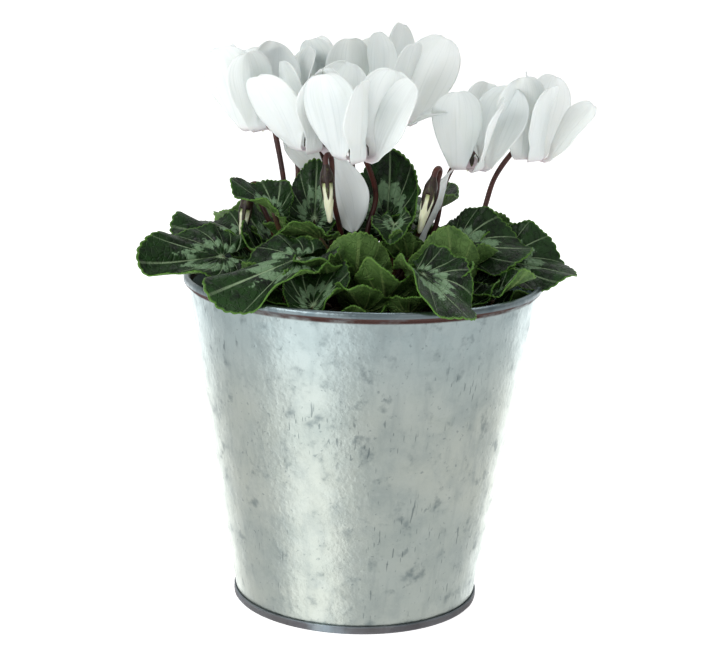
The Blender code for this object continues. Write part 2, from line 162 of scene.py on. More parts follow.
# A finished piece from points, faces and the material slot of each face.
def addPiece(name, points, faces, slots, materials, node, data=None):
    mesh = bpy.data.meshes.new(name)
    mesh.from_pydata((np.asarray(points) * mm).tolist(), [], faces)
    mesh.polygons.foreach_set("material_index", np.asarray(slots, np.int32))
    mesh.polygons.foreach_set("use_smooth", np.ones(len(faces), bool))
    for key, values in (data or {}).items():
        kind = "FLOAT_VECTOR" if values.ndim == 2 else "FLOAT"
        layer = mesh.attributes.new(key, kind, "POINT")
        layer.data.foreach_set("vector" if values.ndim == 2 else "value", values.ravel())
    mesh.update()
    for material in materials:
        mesh.materials.append(material)
    piece = bpy.data.objects.new(name, mesh)
    bpy.context.scene.collection.objects.link(piece)
    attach(piece, "root")
    for each in [node] if isinstance(node, str) else node:
        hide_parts(each)
    return piece


def direction(azimuth, elevation):
    a, e = np.radians(azimuth), np.radians(elevation)
    return np.array([np.cos(e) * np.cos(a), np.cos(e) * np.sin(a), np.sin(e)])


# Quads of a grid, row by row; a closed grid joins its last column to its first.
def gridQuads(rows, columns, start=0, closed=False):
    wide = columns if closed else columns - 1
    row, column = np.meshgrid(np.arange(rows - 1), np.arange(wide), indexing="ij")
    right = (column + 1) % columns
    a = start + row * columns + column
    b = start + row * columns + right
    return np.stack([a, b, b + columns, a + columns], -1).reshape(-1, 4)


# Smooth run through points: Catmull-Rom, evenly sampled between each pair.
def through(points, samples):
    p = [np.array(q, float) for q in points]
    p = np.array([2 * p[0] - p[1], *p, 2 * p[-1] - p[-2]])
    t = np.linspace(0, 1, samples, endpoint=False)[:, None]
    found = []
    for a, b, c, d in zip(p, p[1:], p[2:], p[3:]):
        found.append(0.5 * (2 * b + (c - a) * t + (2 * a - 5 * b + 4 * c - d) * t**2
                            + (3 * b - a - 3 * c + d) * t**3))
    return np.concatenate([*found, p[-2][None]])


# Directions square to a path, carried along it without twist.
def pathFrames(path):
    ahead = np.gradient(path, axis=0)
    ahead /= np.linalg.norm(ahead, axis=1)[:, None]
    side = np.cross(ahead[0], (0.31, 0.95, 0.07))
    sides = []
    for step in ahead:
        side = side - step * side.dot(step)
        side = side / np.linalg.norm(side)
        sides.append(side)
    sides = np.array(sides)
    return sides, np.cross(ahead, sides), ahead


# A closed rod: rings of the radius at each point of the path, and a middle point at each end.
# The radius may be one number a ring, or one for each place round it.
def rod(path, radii, sides, start=0):
    radii = np.asarray(radii, float)
    radii = radii if radii.ndim == 2 else np.repeat(radii[:, None], sides, 1)
    across, over, _ = pathFrames(path)
    turn = np.linspace(0, 2 * np.pi, sides, endpoint=False)
    ring = across[:, None] * np.cos(turn)[:, None] + over[:, None] * np.sin(turn)[:, None]
    points = (path[:, None] + ring * radii[..., None]).reshape(-1, 3)
    points = np.concatenate([points, path[:1], path[-1:]])
    quads = gridQuads(len(path), sides, start, True)
    column = np.arange(sides)
    right = (column + 1) % sides
    first = start + len(path) * sides
    last = start + (len(path) - 1) * sides
    ends = [np.stack([right + start, column + start, np.full(sides, first)], 1),
            np.stack([column + last, right + last, np.full(sides, first + 1)], 1)]
    return points, quads.tolist() + ends[0].tolist() + ends[1].tolist()


# A turned sheet or solid from (radius, height) points, closed on itself.
def turned(profile, steps):
    profile = np.asarray(profile, float)
    turn = np.linspace(0, 2 * np.pi, steps, endpoint=False)
    r, z = profile[:, 0][:, None], profile[:, 1][:, None]
    points = np.stack([r * np.cos(turn), r * np.sin(turn), z + 0 * turn], -1)
    return points, gridQuads(len(profile), steps, 0, True)


# A smooth random relief: the mean of sines that run in many directions, -1 to 1 or so.
def bumpy(points, size, seed, waves=14):
    draw = np.random.default_rng(seed)
    heading = draw.normal(size=(waves, 3))
    heading *= 2 * np.pi / size / np.linalg.norm(heading, axis=1)[:, None]
    phase = draw.uniform(0, 2 * np.pi, waves)
    return np.sin(np.asarray(points) @ heading.T + phase).sum(-1) / waves**0.5


def smoothstep(value, low, high):
    share = np.clip((value - low) / (high - low), 0, 1)
    return share * share * (3 - 2 * share)


# Gives a sheet its thickness, half to each side; the underside can take the next material.
def thicken(piece, thickness, underside=0):
    shell = piece.modifiers.new("thickness", "SOLIDIFY")
    shell.thickness = thickness * mm
    shell.offset = 0.0
    shell.use_rim = True
    shell.material_offset = underside


# Merges doubles, closes a pole and turns the faces outwards on a closed form.
def closeSeams(piece, within=0.002):
    work = bmesh.new()
    work.from_mesh(piece.data)
    bmesh.ops.remove_doubles(work, verts=work.verts, dist=within * mm)
    bmesh.ops.dissolve_degenerate(work, edges=work.edges, dist=1e-7)
    bmesh.ops.recalc_face_normals(work, faces=work.faces)
    work.to_mesh(piece.data)
    work.free()


print("stage: pot")

pot = {"height": 139.5, "sheet": 0.7, "topRadius": 72.75, "footRadius": 50.6, "foot": 1.1,
       "rollWidth": 1.0, "rollHeight": 1.4, "rollTurn": 250, "rollRings": 22, "steps": 288,
       "rows": 72, "dent": 0.10, "dentSize": 42, "ding": 0.014, "dingSize": 9,
       "seamAzimuth": 96, "seamWidth": 7, "seamStep": 0.45}
base = {"radius": 52.3, "inside": 51.35, "floor": 0.8, "crimp": 3.4, "rough": 0.10,
        "roughSize": 16, "steps": 288}


# Galvanised steel sheet, dipped and weathered: dull spangle under a pale zinc bloom, darker
# where it was handled, and rust where the coat is cut at the rolled rim and the crimped foot.
zinc = {"spangle": 7, "cloud": 45, "stain": 7.5, "speck": 2, "mottle": 14, "streak": 3.5,
        "scratch": 1.2, "rust": "#3d1d15", "scratchColour": "#5d6a6e"}


def galvanisedSheet(name, pale, dull, cool, rustLow, rustHigh, rustAmount):
    material, tree, out = newMaterial(name)
    share, sums, tint = shaderSteps(tree)
    spot = placeOnObject(tree)
    height = split(tree, spot)[2]
    spangle = addNode(tree, "ShaderNodeTexVoronoi", {},
                      {"Vector": spot, "Scale": 1 / (zinc["spangle"] * mm)}).outputs["Color"]
    cloud = noise(tree, spot, zinc["cloud"] * mm, 5.0, 0.55)
    stain = noise(tree, spot, zinc["stain"] * mm, 4.0, 0.55)
    speck = noise(tree, spot, zinc["speck"] * mm, 2.0)
    mottle = noise(tree, spot, zinc["mottle"] * mm, 8.0, 0.72)
    streak = noise(tree, stretched(tree, spot, (1.0, 1.0, 0.06)), zinc["streak"] * mm, 3.0)
    slanted = stretched(tree, spot, (1.0, 1.0, 0.05), (0.5, 0.35, 0.9))
    drag = noise(tree, slanted, zinc["scratch"] * mm, 1.0)

    colour = tint(share(cloud, 0.35, 0.68), linearColour(pale), linearColour(dull))
    colour = tint(share(height, 0.085, 0.135), colour, linearColour(cool))
    for pattern, low, high, amount, over in (
            (spangle, 0.2, 0.9, 0.14, "#d5ddda"), (stain, 0.55, 0.78, 0.66, "#66757a"),
            (mottle, 0.42, 0.66, 0.28, "#8c9b9d"), (streak, 0.50, 0.75, 0.22, "#8b989a"),
            (speck, 0.64, 0.76, 0.45, "#6f7c80")):
        colour = tint(share(pattern, low, high, amount), colour, linearColour(over))
    # scratches show only where the cloud says the sheet was handled
    scratch = sums("MULTIPLY", share(drag, 0.67, 0.72, 0.55), share(cloud, 0.50, 0.58))
    colour = tint(scratch, colour, linearColour(zinc["scratchColour"]))
    # rust = a band between two heights x patches
    band = sums("MULTIPLY", share(height, *rustLow), share(height, *rustHigh[::-1]))
    rust = sums("MULTIPLY", band, share(cloud, 0.30, 0.47, rustAmount))
    colour = tint(rust, colour, linearColour(zinc["rust"]))
    rough = sums("MULTIPLY_ADD", rust, 0.4, unevenGloss(tree, stain, 0.30, 0.42))
    pits = relief(tree, speck, 0.45, 0.0004)
    surface(tree, out, {"Base Color": colour, "Roughness": rough,
                        "Metallic": sums("SUBTRACT", 1.0, rust),
                        "Normal": relief(tree, stain, 0.28, 0.0010, pits)})
    return material


zincWall = galvanisedSheet("weatheredGalvanisedSteelSheet", "#cad1c8", "#bcc6c0", "#b9c9ca",
                           (0.1341, 0.1350), (0.1366, 0.1372), 1.0)
zincRim = galvanisedSheet("handledGalvanisedRim", "#7c898d", "#566266", "#75848a",
                          (0.1350, 0.1358), (0.1368, 0.1374), 1.0)
zincBase = galvanisedSheet("tarnishedGalvanisedFoot", "#9aa8b1", "#55636a", "#9aa8b1",
                           (-0.001, 0.0004), (0.0024, 0.0042), 0.62)


# Wall: the middle of the sheet, from the curled edge of the rolled rim, over its top and down
# the cone to the foot. radius = cone + shallow dents + the step of the lapped side seam.
def potWall(spec):
    roll = np.radians(180 - spec["rollTurn"] * (1 - np.linspace(0, 1, spec["rollRings"])))
    top = spec["height"] - spec["rollHeight"] - 0.5 * spec["sheet"]
    rollRadius = spec["topRadius"] + spec["rollWidth"] * (1 + np.cos(roll))
    rollZ = top + spec["rollHeight"] * np.sin(roll)
    down = np.linspace(0, 1, spec["rows"])[1:]
    radius = np.concatenate([rollRadius, spec["topRadius"]
                             + (spec["footRadius"] - spec["topRadius"]) * down])
    height = np.concatenate([rollZ, top + (spec["foot"] - top) * down])
    points, quads = turned(np.stack([radius, height], 1), spec["steps"])
    onWall = smoothstep(top - height, 1, 14) * smoothstep(height, 3, 14)
    turn = np.arctan2(points[..., 1], points[..., 0])
    gap = np.degrees(np.abs(np.angle(np.exp(1j * (turn - np.radians(spec["seamAzimuth"]))))))
    across = np.radians(gap) * radius[:, None]
    seam = spec["seamStep"] * (1 - smoothstep(across, 0.5 * spec["seamWidth"] - 0.6,
                                              0.5 * spec["seamWidth"]))
    push = onWall[:, None] * (spec["dent"] * bumpy(points, spec["dentSize"], 3)
                              + spec["ding"] * bumpy(points, spec["dingSize"], 4))
    push = push + seam * smoothstep(top - height, 0.5, 2)[:, None]
    points[..., :2] *= (1 + push / radius[:, None])[..., None]
    ring = np.repeat(np.arange(len(radius) - 1), spec["steps"])
    slots = (ring < spec["rollRings"]).astype(int)
    piece = addPiece("potWall", points.reshape(-1, 3), quads.tolist(), slots,
                     [zincWall, zincRim], "pot_wall")
    thicken(piece, spec["sheet"])


# Foot: a shallow pan whose edge is crimped up round the bottom of the wall.
def potBase(spec):
    turn = np.linspace(0, np.pi, 9)
    lip = 0.5 * (spec["radius"] - spec["inside"])
    mid = spec["inside"] + lip
    profile = [(0.0, spec["floor"]), (20, spec["floor"]), (spec["inside"] - 1.5, spec["floor"]),
               (spec["inside"], spec["floor"] + 0.3), (spec["inside"], spec["crimp"] - lip)]
    profile += list(zip(mid - lip * np.cos(turn), spec["crimp"] - lip + lip * np.sin(turn)))[1:]
    profile += [(spec["radius"] - 0.12, 1.9), (spec["radius"], 1.3), (spec["radius"] - 0.1, 0.6),
                (spec["radius"] - 0.6, 0.0), (spec["inside"] - 3, 0.0),
                (spec["inside"] - 4, 0.35), (20, 0.35), (0.0, 0.35)]
    points, quads = turned(profile, spec["steps"])
    flat = points.reshape(-1, 3)
    away = np.hypot(flat[:, 0], flat[:, 1])
    push = spec["rough"] * bumpy(flat, spec["roughSize"], 5) * smoothstep(away, 51.8, 52.2)
    flat[:, :2] *= (1 + push / np.maximum(away, 1))[:, None]
    closeSeams(addPiece("potBase", flat, quads[:, ::-1].tolist(), np.zeros(len(quads)),
                        [zincBase], "pot_base"))


potWall(pot)
potBase(base)

print("stage: compost and tuber")

compost = {"top": 119.5, "edge": 68.4, "steps": 220, "rows": 90, "lump": 0.9, "lumpSize": 7,
           "sides": ((67.9, 115), (49.9, 1.4), (25, 1.4), (0, 1.4)),
           "crumbs": 900, "crumbSize": (0.7, 2.4), "seed": 21}
tuber = {"radius": 20, "halfHeight": 8, "centre": 117, "rough": 0.45, "steps": 160, "rows": 80}


# A dull, grainy ground: two noises mix three colours and lift the surface.
def grainyGround(name, colours, size, rough):
    material, tree, out = newMaterial(name)
    _, sums, _ = shaderSteps(tree)
    spot = placeOnObject(tree)
    grain = noise(tree, spot, size, 6.0, 0.7)
    total = sums("ADD", grain, noise(tree, spot, 5 * size, 3.0))
    ramp = addNode(tree, "ShaderNodeValToRGB", {}, {"Fac": sums("MULTIPLY", total, 0.5)})
    ends = ramp.color_ramp.elements
    ends[0].position, ends[1].position = 0.36, 0.66
    ends[0].color, ends[1].color = linearColour(colours[0]), linearColour(colours[2])
    ends.new(0.50).color = linearColour(colours[1])
    surface(tree, out, {"Base Color": ramp.outputs["Color"], "Roughness": rough,
                        "Normal": relief(tree, grain, 0.6, 0.3 * size)})
    return material


# Peat-based potting compost, damp: near black, with paler bark crumbs and no gloss.
dampCompost = grainyGround("dampPeatCompost", ("#140d09", "#2a1c13", "#4c3826"), 0.0022, 0.95)
# The cork skin of the tuber: dry, cracked and brown.
corkSkin = grainyGround("corkyTuberSkin", ("#2a1a12", "#4d3423", "#77593e"), 0.0035, 0.85)


# The top is a disc whose height is lumps of two sizes, with a dip for the tuber; the side
# follows the inside of the wall down to the pot's floor.
def compostFill(spec):
    away = np.linspace(0, 1, spec["rows"]) * spec["edge"]
    hollow = tuber["radius"] + 1.2
    dip = (tuber["halfHeight"] + 1.0) * np.sqrt(np.clip(1 - (away / hollow) ** 2, 0, 1))
    level = np.where(away < hollow, tuber["centre"] - dip, spec["top"])
    level = level + 0.5 * smoothstep(away, hollow, 45) - 1.2 * smoothstep(away, 58, 68.4)
    points, _ = turned(np.stack([away, level], 1), spec["steps"])
    lumps = bumpy(points, spec["lumpSize"], 7) + 0.5 * bumpy(points, 2.6, 8)
    points[..., 2] += spec["lump"] * lumps * smoothstep(away, hollow - 3, hollow + 4)[:, None] \
        * (1 - smoothstep(away, 66, 68.4))[:, None]
    sides, _ = turned(spec["sides"], spec["steps"])
    rings = np.concatenate([points, sides])
    quads = gridQuads(len(rings), spec["steps"], 0, True)
    closeSeams(addPiece("compostFill", rings.reshape(-1, 3), quads.tolist(),
                        np.zeros(len(quads)), [dampCompost], "compost"))


# Loose crumbs of bark and peat: each is an octahedron pulled out of true.
def compostCrumbs(spec):
    draw = np.random.default_rng(spec["seed"])
    corner = np.array([(1, 0, 0), (0, 1, 0), (-1, 0, 0), (0, -1, 0), (0, 0, 1), (0, 0, -1)],
                      float)
    face = np.array([(0, 1, 4), (1, 2, 4), (2, 3, 4), (3, 0, 4), (1, 0, 5), (2, 1, 5), (3, 2, 5),
                     (0, 3, 5)])
    count = spec["crumbs"]
    turn = draw.uniform(0, 2 * np.pi, count)
    away = np.sqrt(draw.uniform(0.12, 0.96, count)) * spec["edge"]
    size = draw.uniform(*spec["crumbSize"], count)
    centre = np.stack([away * np.cos(turn), away * np.sin(turn),
                       spec["top"] + 0.2 + 0.2 * size], 1)
    shape = corner * draw.uniform(0.35, 0.75, (count, 6, 1)) + draw.normal(0, 0.12, (count, 6, 3))
    points = centre[:, None] + shape * size[:, None, None]
    faces = face[None] + 6 * np.arange(count)[:, None, None]
    piece = addPiece("compostCrumbs", points.reshape(-1, 3), faces.reshape(-1, 3).tolist(),
                     np.zeros(8 * count), [dampCompost], [])
    piece.data.polygons.foreach_set("use_smooth", np.zeros(8 * count, bool))


# A flattened ball: radius = spheroid + cork plates, drawn in a little all round.
def cyclamenTuber(spec):
    drop = np.linspace(0, np.pi, spec["rows"])
    points, quads = turned(np.stack([spec["radius"] * np.sin(drop),
                                     spec["halfHeight"] * np.cos(drop)], 1), spec["steps"])
    unit = points / np.maximum(np.linalg.norm(points, axis=-1), 1e-6)[..., None]
    plates = 0.6 * bumpy(points, 9, 11) + 0.3 * bumpy(points, 3, 12)
    points = points + unit * spec["rough"] * (plates - 1.3)[..., None]
    points[..., 2] += spec["centre"]
    closeSeams(addPiece("cyclamenTuber", points.reshape(-1, 3), quads.tolist(),
                        np.zeros(len(quads)), [corkSkin], "tuber"))


compostFill(compost)
compostCrumbs(compost)
cyclamenTuber(tuber)

print("stage: leaves")

leaf = {"thickness": 0.55, "grid": (289, 20), "lobeAngle": 158, "teeth": 66,
        "toothDepth": 0.80, "ripple": 0.026, "frill": 0.105, "curl": 0.17, "point": 0.07,
        "quilt": 0.75, "veinStep": 30, "veinSweep": 0.26, "stalkRadius": 1.1}

# Where the stalk meets the blade, azimuth and elevation of the tip, roll about the midrib,
# length, breadth, fold at the midrib, cup of each half, bend of the midrib and edge wave.
leafBlades = {
    "leaf_01": ((-58, -20, 149), 200, -2, -40, 32, 0.84, 10, 8, -12, 0.05),
    "leaf_02": ((-52, 8, 151), 184, 12, -15, 28, 1.0, 8, 10, -10, 0.06),
    "leaf_03": ((-41, -37, 134), 228, 58, 0, 18, 1.1, 12, 16, 10, 0.06),
    "leaf_04": ((-26, -46, 154), 208, -14, -18, 37, 0.8, -6, 6, -14, 0.05),
    "leaf_05": ((-37, -18, 168), 180, 40, -12, 20, 0.9, 14, 10, -24, 0.06),
    "leaf_06": ((-21, -3, 163), 88, 68, 0, 23, 0.9, 12, 14, 0, 0.06),
    "leaf_07": ((-39, 6, 150), 165, 42, -20, 19, 1.0, 10, 14, 0, 0.05),
    "leaf_08": ((-18, -25, 159), 186, 16, 26, 17, 1.0, 8, 8, -20, 0.05),
    "leaf_09": ((-3, -37, 142), 275, 58, 0, 23, 1.1, 6, 14, 30, 0.06),
    "leaf_10": ((-19, -58, 138), 55, 42, 0, 21, 1.0, 16, 16, -16, 0.07),
    "leaf_11": ((9, -44, 138), 262, 48, 0, 22, 1.0, 6, 16, -20, 0.05),
    "leaf_12": ((-2, -53, 127), 270, 40, 0, 17, 1.2, 6, 20, -20, 0.05),
    "leaf_13": ((9, -2, 163), 78, 72, 0, 28, 1.0, 10, 28, 10, 0.04),
    "leaf_14": ((12, -17, 164), 262, -12, 0, 15, 1.1, 14, 20, -10, 0.06),
    "leaf_15": ((17, -21, 151), 196, 6, 22, 20, 0.9, 18, 12, 0, 0.05),
    "leaf_16": ((23, -50, 150), 304, -15, -8, 31, 0.85, 12, 6, -22, 0.05),
    "leaf_17": ((33, -31, 141), 288, 66, 0, 24, 1.1, 8, 16, 20, 0.06),
    "leaf_18": ((39, -7, 154), 352, 2, 36, 28, 1.0, 6, 12, -14, 0.04),
    "leaf_19": ((35, 13, 147), 50, 68, 0, 13, 1.0, 8, 16, 0, 0.05),
    "leaf_20": ((51, 13, 147), 40, 50, 0, 13, 1.0, 8, 14, 0, 0.05),
    "leaf_21": ((58, -1, 147), 346, -4, 28, 29, 1.0, 12, 6, -14, 0.05),
    "leaf_22": ((61, 21, 143), 50, 42, 0, 14, 1.0, 8, 14, 0, 0.05),
    "leaf_23": ((52, -31, 137), 320, 34, 10, 21, 1.0, 8, 14, 0, 0.05),
    "leaf_24": ((-36, 34, 150), 142, 4, 25, 34, 1.0, 12, 8, -16, 0.05),
    "leaf_25": ((-8, 48, 151), 105, -6, 0, 33, 1.0, 12, 6, -18, 0.05),
    "leaf_26": ((26, 42, 150), 60, 0, -10, 32, 1.0, 12, 8, -16, 0.05),
    "leaf_27": ((46, 30, 148), 28, 2, -25, 29, 1.0, 12, 8, -16, 0.05),
    "leaf_28": ((-11, 20, 158), 118, 20, 0, 20, 1.0, 10, 12, -10, 0.05),
    "leaf_29": ((22, 26, 160), 50, 22, 0, 24, 1.0, 10, 12, -10, 0.05),
}


# A cyclamen blade seen from above: leathery with a waxy sheen, dark green, a jagged silver
# band where air lies under the skin, pale sunken veins and a thin yellow-green rim.
def bladeMaterial(name, dark, light, silver, veinColour, rim, silverAmount, rough):
    material, tree, out = newMaterial(name)
    share, sums, tint = shaderSteps(tree)
    flat = stored(tree, "bladeFlat")
    vein, reach, gap = split(tree, stored(tree, "bladePlace"))
    tissue = noise(tree, flat, 6.25, 5.0, 0.65)
    fine = noise(tree, flat, 1 / 0.9, 3.0)
    blotch = noise(tree, flat, 1 / 0.09, 1.0)
    net = addNode(tree, "ShaderNodeTexVoronoi", {"feature": "DISTANCE_TO_EDGE"},
                  {"Vector": flat, "Scale": 1 / 2.6}).outputs["Distance"]
    near = addNode(tree, "ShaderNodeMath", {"operation": "PINGPONG"},
                   {0: vein, 1: 0.5}).outputs["Value"]
    main = sums("SUBTRACT", 1.0, share(sums("MULTIPLY", near, gap), 0.16, 0.42))
    midrib = sums("SUBTRACT", 1.0, share(sums("MULTIPLY", sums("ABSOLUTE", vein, 0.0), gap),
                                         0.22, 0.75))
    taper = sums("SUBTRACT", 1.0, share(reach, 0.55, 1.0, 0.8))
    lines = sums("MULTIPLY", sums("MAXIMUM", main, midrib), taper)
    small = sums("SUBTRACT", 1.0, share(net, 0.02, 0.10))
    # silver band: highest midway out, reaching further between the veins than along them
    middle = sums("MULTIPLY_ADD", near, 0.30, sums("MULTIPLY_ADD", tissue, 0.34, 0.26))
    off = sums("ABSOLUTE", sums("SUBTRACT", sums("MULTIPLY_ADD", fine, 0.22, reach), middle), 0.0)
    band = sums("SUBTRACT", 1.0, share(sums("MULTIPLY_ADD", blotch, 0.24, off), 0.20, 0.27))
    colour = tint(share(tissue, 0.36, 0.60), linearColour(dark), linearColour(light))
    colour = tint(sums("MULTIPLY", small, 0.28), colour, linearColour(light))
    colour = tint(sums("MULTIPLY", band, silverAmount), colour, linearColour(silver))
    colour = tint(sums("MULTIPLY", lines, 0.72), colour, linearColour(veinColour))
    colour = tint(share(reach, 0.968, 0.995, 0.75), colour, linearColour(rim))
    lift = sums("SUBTRACT", sums("MULTIPLY", fine, 0.5), lines)
    lift = sums("SUBTRACT", lift, sums("MULTIPLY", small, 0.6))
    surface(tree, out, {"Base Color": colour, "IOR": 1.40, "Specular IOR Level": 0.4,
                        "Roughness": unevenGloss(tree, tissue, rough, rough + 0.14),
                        "Normal": relief(tree, lift, 0.75, 0.0006)})
    return material


bladeTop = bladeMaterial("waxyBladeUpperSkin", "#061505", "#1a3911", "#7f9f79", "#a6bf96",
                         "#5a8632", 0.84, 0.34)
bladeUnder = bladeMaterial("matBladeUnderside", "#34531f", "#55743a", "#55743a", "#7c9556",
                           "#6b9040", 0.0, 0.52)


# Stalks and flower stems: smooth, slightly hairy skin, burgundy brown that greens in places.
def stemMaterial(name, low, mid, high, size=0.010):
    material, tree, out = newMaterial(name)
    share, _, tint = shaderSteps(tree)
    spot = placeOnObject(tree)
    cloud = noise(tree, spot, size, 4.0)
    grain = noise(tree, stretched(tree, spot, (1, 1, 0.08)), 0.0007, 2.0)
    colour = tint(share(cloud, 0.34, 0.52), linearColour(low), linearColour(mid))
    colour = tint(share(cloud, 0.56, 0.72, 0.7), colour, linearColour(high))
    colour = tint(share(grain, 0.5, 0.7, 0.25), colour, linearColour(high))
    surface(tree, out, {"Base Color": colour, "Roughness": 0.46, "Subsurface Weight": 0.08,
                        "Subsurface Scale": 0.001,
                        "Normal": relief(tree, grain, 0.25, 0.0003)})
    return material


stalkSkin = stemMaterial("leafStalkSkin", "#3a211a", "#4e3824", "#626235")
stemSkin = stemMaterial("flowerStemSkin", "#2c1110", "#431d18", "#5a3224")
calyxSkin = stemMaterial("calyxSkin", "#1c0f0d", "#2d1d16", "#56602c", 0.0020)


# Across, along and upward directions of a blade.
def leafFrame(azimuth, elevation, roll):
    along = direction(azimuth, elevation)
    side = np.cross(along, (0, 0, 1))
    side /= np.linalg.norm(side)
    up = np.cross(side, along)
    across = side * np.cos(np.radians(roll)) - up * np.sin(np.radians(roll))
    return across, along, np.cross(across, along)


# Run and rise of an arc that starts at an angle and turns by a rate, both in radians.
def bent(distance, start, rate):
    rate = np.where(np.abs(rate) < 1e-6, 1e-6, rate)
    end = start + rate * distance
    return (np.sin(end) - np.sin(start)) / rate, (np.cos(start) - np.cos(end)) / rate


# A blade from its angle from the tip and its share of the edge. The outline is a heart-shaped
# disc with a short point and small round teeth; each half folds up from the midrib and cups,
# the midrib bends by an even arc, the edge ripples and curls up on one side, and the skin
# stands up between the sunken veins.
def bladeSheet(shape, seed, grid):
    length, breadth, fold, cup, bend, wave = shape
    draw = np.random.default_rng(seed)
    around, across = grid
    turns = np.radians(np.linspace(-leaf["lobeAngle"], leaf["lobeAngle"], around))
    rows = 1 - (1 - np.linspace(0, 1, across + 1)[1:]) ** 1.25
    turn, reach = np.meshgrid(turns, rows)
    heart = 0.62 + 0.24 * np.cos(turn) + 0.10 * np.cos(2 * turn) + 0.04 * np.cos(4 * turn)
    edge = length * heart * (1 + leaf["point"] * np.exp(-((turn / 0.30) ** 2)))
    slip = 0.6 * np.sin(3 * turn + draw.uniform(0, 6)) + 0.4 * np.sin(7 * turn)
    tooth = np.abs(np.sin(0.5 * leaf["teeth"] * turn + slip)) ** 0.7 - 0.6
    size = 1 + 0.5 * np.sin(5 * turn + draw.uniform(0, 6))
    cut = reach + leaf["toothDepth"] * size * tooth * smoothstep(reach, 0.86, 1.0) / edge
    out = np.abs(edge * cut * np.sin(turn)) * breadth
    forward = edge * cut * np.cos(turn)
    run, rise = bent(out, np.radians(fold), np.radians(cup) / (0.5 * length))
    rise = rise + wave * length * reach**2 * np.sin(5 * turn + 0.8)
    rise = rise + leaf["ripple"] * length * reach**3 * np.sin(13 * turn + draw.uniform(0, 6))
    rise = rise + leaf["frill"] * length * reach**2.5 * np.sin(
        4 * turn + 1.2 * np.sin(2 * turn) + draw.uniform(0, 6))
    curled = np.maximum(np.sin(turn + draw.uniform(0, 6)), 0) ** 2
    rise = rise + leaf["curl"] * length * reach**4 * curled
    sweep = 1 - leaf["veinSweep"] * reach
    step = np.radians(leaf["veinStep"])
    vein = turn / sweep / step
    between = np.abs(2 * (vein - np.round(vein)))
    rise = rise + leaf["quilt"] * (length / 30) * (smoothstep(between, 0, 0.7) - 0.6) \
        * np.sin(np.pi * np.clip(reach, 0, 1)) ** 0.8
    angle = np.radians(bend if abs(bend) > 1e-3 else 1e-3) / length
    level, lift = bent(forward, 0.0, np.full_like(forward, angle))
    flat = np.stack([run * np.sign(np.sin(turn)), level - rise * np.sin(angle * forward),
                     lift + rise * np.cos(angle * forward)], -1)
    place = np.stack([vein, reach, step * sweep * edge * reach], -1)
    spread = np.stack([out * np.sign(np.sin(turn)), forward, 0 * out + 7.3 * seed], -1)
    quads = gridQuads(across, around, 1)
    column = np.arange(around - 1)
    fan = np.stack([0 * column, column + 2, column + 1], 1)
    pole = np.zeros((1, 3))
    return (np.concatenate([pole, flat.reshape(-1, 3)]), fan.tolist() + quads.tolist(),
            np.concatenate([pole, place.reshape(-1, 3)]),
            np.concatenate([[[0, 0, 7.3 * seed]], spread.reshape(-1, 3)]))


# A foot on the tuber's crown for each place: near places take the inner ring of growth, far
# ones the outer ring, and each ring keeps the order of the places round the axis.
def crownFeet(places):
    names = sorted(places, key=lambda n: np.hypot(places[n][0], places[n][1]))
    feet = {}
    for radius, count in ((4.6, 7), (9.6, 13), (14.8, 20)):
        ring, names = names[:count], names[count:]
        ring.sort(key=lambda n: np.arctan2(places[n][1], places[n][0]))
        angles = np.array([np.arctan2(places[n][1], places[n][0]) for n in ring])
        turn = np.arange(len(ring)) * 2 * np.pi / max(len(ring), 1)
        turn = turn + (angles - turn).mean()
        drop = np.sqrt(1 - (radius / tuber["radius"]) ** 2)
        height = tuber["centre"] + tuber["halfHeight"] * drop + 0.8
        for name, a in zip(ring, turn):
            feet[name] = np.array([radius * np.cos(a), radius * np.sin(a), height])
    return feet


# A stalk's line: a Bezier curve that leaves the crown at a slant and meets the blade from
# below and behind.
def stalkLine(place, along, up, foot):
    far = np.linalg.norm(place - foot)
    lean = direction(np.degrees(np.arctan2(foot[1], foot[0])), 70)
    p = (foot - (0, 0, 1.2), foot + lean * far * 0.30,
         place - (0.55 * up + 0.65 * along) * far * 0.30, place - up * 0.2)
    t = np.linspace(0, 1, 48)[:, None]
    return ((1 - t) ** 3 * p[0] + 3 * t * (1 - t) ** 2 * p[1] + 3 * t * t * (1 - t) * p[2]
            + t**3 * p[3])


# A blade with its stalk; only a leaf of the table stands for a solid.
def cyclamenLeaf(name, spec, foot, seed, grid):
    place, azimuth, elevation, roll = spec[:4]
    place = np.array(place, float)
    across, along, up = leafFrame(azimuth, elevation, roll)
    flat, faces, spot, spread = bladeSheet(spec[4:], seed, grid)
    points = place + flat @ np.stack([across, along, up])
    blade = addPiece("blade" + name[4:], points, faces, np.zeros(len(faces)),
                     [bladeTop, bladeUnder], [] if "inner" in name else name,
                     {"bladePlace": spot, "bladeFlat": spread})
    thicken(blade, leaf["thickness"], 1)
    line = stalkLine(place, along, up, foot)
    way = np.linspace(0, 1, len(line))
    radii = leaf["stalkRadius"] * (1 + 0.12 * (1 - way) - 0.1 * way
                                   + 0.03 * bumpy(line, 9, seed + 50))
    points, faces = rod(line, radii, 16)
    addPiece("stalk" + name[4:], points, faces, np.zeros(len(faces)), [stalkSkin], [])


print("stage: flowers and buds")

